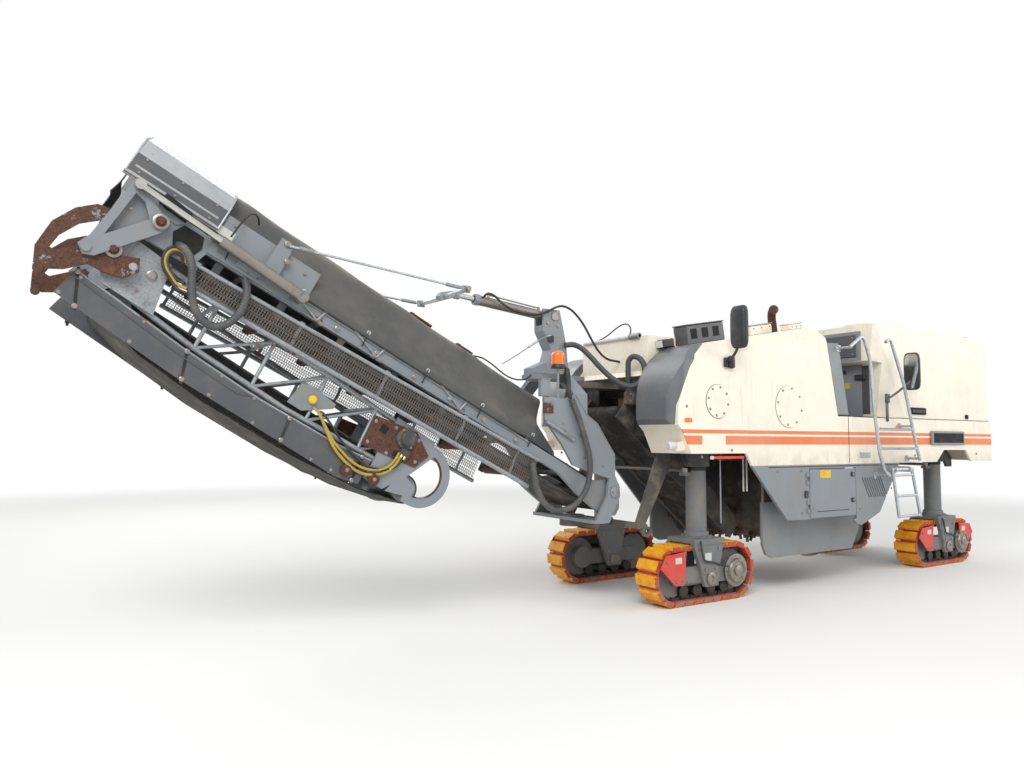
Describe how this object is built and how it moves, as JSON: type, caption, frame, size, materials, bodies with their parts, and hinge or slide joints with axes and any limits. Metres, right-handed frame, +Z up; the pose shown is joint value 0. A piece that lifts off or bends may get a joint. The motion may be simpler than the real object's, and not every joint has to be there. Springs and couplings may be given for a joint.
{
  "type": "cold planer",
  "caption": "Compact road milling machine on four steerable tracks: milling drum under the body, slewing front conveyor parked raised with its end section folded under the boom.",
  "frame": {"origin": "centre of the bounding box on the ground, under the machine", "axes": "+X to the front, where the conveyor points, +Y to the machine's left, +Z up"},
  "size_m": [10.437, 2.66, 3.6542],
  "materials": {
    "bare_steel": "brushed",
    "black_rubber": "matte",
    "blue_grey": "satin",
    "cast": "rough",
    "cream": "satin",
    "dark_grey": "satin",
    "fairing_grey": "satin",
    "frame_grey": "satin",
    "galvanised": "satin",
    "orange_lens": "glossy",
    "red": "satin",
    "rod_steel": "polished",
    "rusty": "rough",
    "tarp": "matte",
    "yellow_pads": "matte"
  },
  "bodies": {
    "chassis": {"main_frame": "frame_grey", "slew_bracket": "frame_grey", "front_body": "cream", "front_fairings": "fairing_grey", "rear_body": "cream", "engine_block": "cast", "platform": "dark_grey", "console": "dark_grey", "left_skirt": "blue_grey", "right_skirt": "blue_grey", "drum_housing": "frame_grey", "primary_conveyor": "frame_grey", "primary_belt": "black_rubber", "upper_ladder": "galvanised", "mirrors": "dark_grey", "roof_fittings": "cream"},
    "hood": {"engine_hood": "cream", "hood_grille": "dark_grey", "hood_panels": "blue_grey"},
    "door": {"service_door": "blue_grey"},
    "drum": {"milling_drum": "rusty"},
    "left_side": {"left_side_plate": "blue_grey"},
    "right_side": {"right_side_plate": "blue_grey"},
    "scraper_blade": {"scraper": "rusty"},
    "slewing_head": {"slew_frame": "blue_grey", "mast": "blue_grey", "beacon": "orange_lens"},
    "boom": {"boom_frame": "blue_grey", "boom_sides": "blue_grey", "boom_guards": "galvanised", "boom_belt": "black_rubber", "boom_tarp": "tarp", "head_cover": "galvanised"},
    "folding_section": {"fold_frame": "galvanised", "fold_belt": "black_rubber", "fold_cover": "dark_grey", "fold_head": "blue_grey"},
    "levers": {"fold_levers": "galvanised"},
    "links": {"fold_links": "rusty"},
    "fold_cylinder_barrels": {"fold_barrel": "blue_grey"},
    "fold_cylinder_rods": {"fold_rod": "rod_steel"},
    "hoist_cylinder_barrel": {"hoist_barrel": "blue_grey"},
    "hoist_cylinder_rod": {"hoist_rod": "rod_steel", "hoist_stays": "bare_steel"},
    "foldaway_ladder": {"lower_ladder": "galvanised"},
    "front_left_leg": {"front_left_track": "yellow_pads", "front_left_carrier": "blue_grey", "front_left_guards": "red"},
    "front_right_leg": {"front_right_track": "yellow_pads", "front_right_carrier": "blue_grey", "front_right_guards": "red"},
    "rear_left_leg": {"rear_left_track": "yellow_pads", "rear_left_carrier": "blue_grey", "rear_left_guards": "red"},
    "rear_right_leg": {"rear_right_track": "yellow_pads", "rear_right_carrier": "blue_grey", "rear_right_guards": "red"},
    "front_tie": {"front_tie_rod": "bare_steel"},
    "rear_tie": {"rear_tie_rod": "bare_steel"}
  },
  "joints": [
    {"name": "front_steering", "type": "hinge", "parent": "chassis", "child": "front_left_leg", "pos_m": [-0.22851, 0.69, 0.55], "axis": [0, 0, 1], "range_deg": [-22, 22]},
    {"name": "front_right_steering", "type": "hinge", "parent": "chassis", "child": "front_right_leg", "pos_m": [-0.22851, -0.69, 0.55], "axis": [0, 0, 1], "range_deg": [-23, 23]},
    {"name": "rear_steering", "type": "hinge", "parent": "chassis", "child": "rear_left_leg", "pos_m": [-4.44851, 0.69, 0.55], "axis": [0, 0, 1], "range_deg": [-22, 22]},
    {"name": "rear_right_steering", "type": "hinge", "parent": "chassis", "child": "rear_right_leg", "pos_m": [-4.44851, -0.69, 0.55], "axis": [0, 0, 1], "range_deg": [-23, 23]},
    {"name": "front_tie_swing", "type": "hinge", "parent": "front_left_leg", "child": "front_tie", "pos_m": [-0.07851, 0.69, 1.2353], "axis": [0, 0, 1], "range_deg": [-23, 23]},
    {"name": "rear_tie_swing", "type": "hinge", "parent": "rear_left_leg", "child": "rear_tie", "pos_m": [-4.29851, 0.69, 1.2353], "axis": [0, 0, 1], "range_deg": [-23, 23]},
    {"name": "drum_spin", "type": "hinge", "parent": "chassis", "child": "drum", "pos_m": [-1.84851, 0, 0.84], "axis": [0, 1, 0], "continuous": true},
    {"name": "left_side_plate_lift", "type": "slide", "parent": "chassis", "child": "left_side", "axis": [0, 0, 1], "range_m": [0, 0.3]},
    {"name": "right_side_plate_lift", "type": "slide", "parent": "chassis", "child": "right_side", "axis": [0, 0, 1], "range_m": [0, 0.3]},
    {"name": "scraper_swing", "type": "hinge", "parent": "chassis", "child": "scraper_blade", "pos_m": [-2.43851, 0, 1.2], "axis": [0, 1, 0], "range_deg": [0, 60]},
    {"name": "conveyor_slew", "type": "hinge", "parent": "chassis", "child": "slewing_head", "pos_m": [0.72149, 0, 0.76], "axis": [0, 0, 1], "range_deg": [-45, 45]},
    {"name": "conveyor_lift", "type": "hinge", "parent": "slewing_head", "child": "boom", "pos_m": [0.62149, 0, 1.04], "axis": [0, -1, 0], "range_deg": [-20, 4]},
    {"name": "conveyor_fold", "type": "hinge", "parent": "boom", "child": "folding_section", "pos_m": [4.78624, 0, 2.71694], "axis": [0, -1, 0], "range_deg": [0, 160]},
    {"name": "lever_swing", "type": "hinge", "parent": "boom", "child": "levers", "pos_m": [4.52097, 0, 2.93001], "axis": [0, -1, 0], "range_deg": [-1, 43.08]},
    {"name": "link_swing", "type": "hinge", "parent": "folding_section", "child": "links", "pos_m": [4.66797, 0, 2.62254], "axis": [0, -1, 0], "range_deg": [-98.95, 1]},
    {"name": "fold_cylinder_swing", "type": "hinge", "parent": "boom", "child": "fold_cylinder_barrels", "pos_m": [3.58061, 0, 2.53018], "axis": [0, -1, 0], "range_deg": [-1, 7.11]},
    {"name": "fold_cylinder_stroke", "type": "slide", "parent": "fold_cylinder_barrels", "child": "fold_cylinder_rods", "axis": [0.8653, 0, 0.5012], "range_m": [-0.1403, 0.005]},
    {"name": "hoist_cylinder_swing", "type": "hinge", "parent": "slewing_head", "child": "hoist_cylinder_barrel", "pos_m": [1.00149, 0, 2.69], "axis": [0, -1, 0], "range_deg": [-22.31, 5.26]},
    {"name": "hoist_cylinder_stroke", "type": "slide", "parent": "hoist_cylinder_barrel", "child": "hoist_cylinder_rod", "axis": [0.9945, 0, 0.1052], "range_m": [-0.1218, 0.5891]},
    {"name": "hood_lift", "type": "hinge", "parent": "chassis", "child": "hood", "pos_m": [-5.18651, 0, 1.802], "axis": [0, -1, 0], "range_deg": [0, 50]},
    {"name": "door_swing", "type": "hinge", "parent": "chassis", "child": "door", "pos_m": [-1.47051, 1.064, 1], "axis": [0, 0, -1], "range_deg": [0, 110]},
    {"name": "ladder_fold", "type": "hinge", "parent": "chassis", "child": "foldaway_ladder", "pos_m": [-2.90851, 1.2, 1.215], "axis": [1, 0, 0], "range_deg": [0, 100]}
  ],
  "couplings": [
    {"joint": "front_right_steering", "follows": "front_steering", "ratio": 1},
    {"joint": "rear_right_steering", "follows": "rear_steering", "ratio": 1},
    {"joint": "front_tie_swing", "follows": "front_steering", "ratio": -1},
    {"joint": "rear_tie_swing", "follows": "rear_steering", "ratio": -1},
    {"joint": "lever_swing", "follows": "conveyor_fold", "ratio": 0.26301},
    {"joint": "link_swing", "follows": "conveyor_fold", "ratio": -0.61219},
    {"joint": "fold_cylinder_swing", "follows": "conveyor_fold", "ratio": 0.03821},
    {"joint": "fold_cylinder_stroke", "follows": "conveyor_fold", "m_per_rad": -0.04845},
    {"joint": "hoist_cylinder_swing", "follows": "conveyor_lift", "ratio": 1.0653},
    {"joint": "hoist_cylinder_stroke", "follows": "conveyor_lift", "m_per_rad": -1.6734}
  ]
}
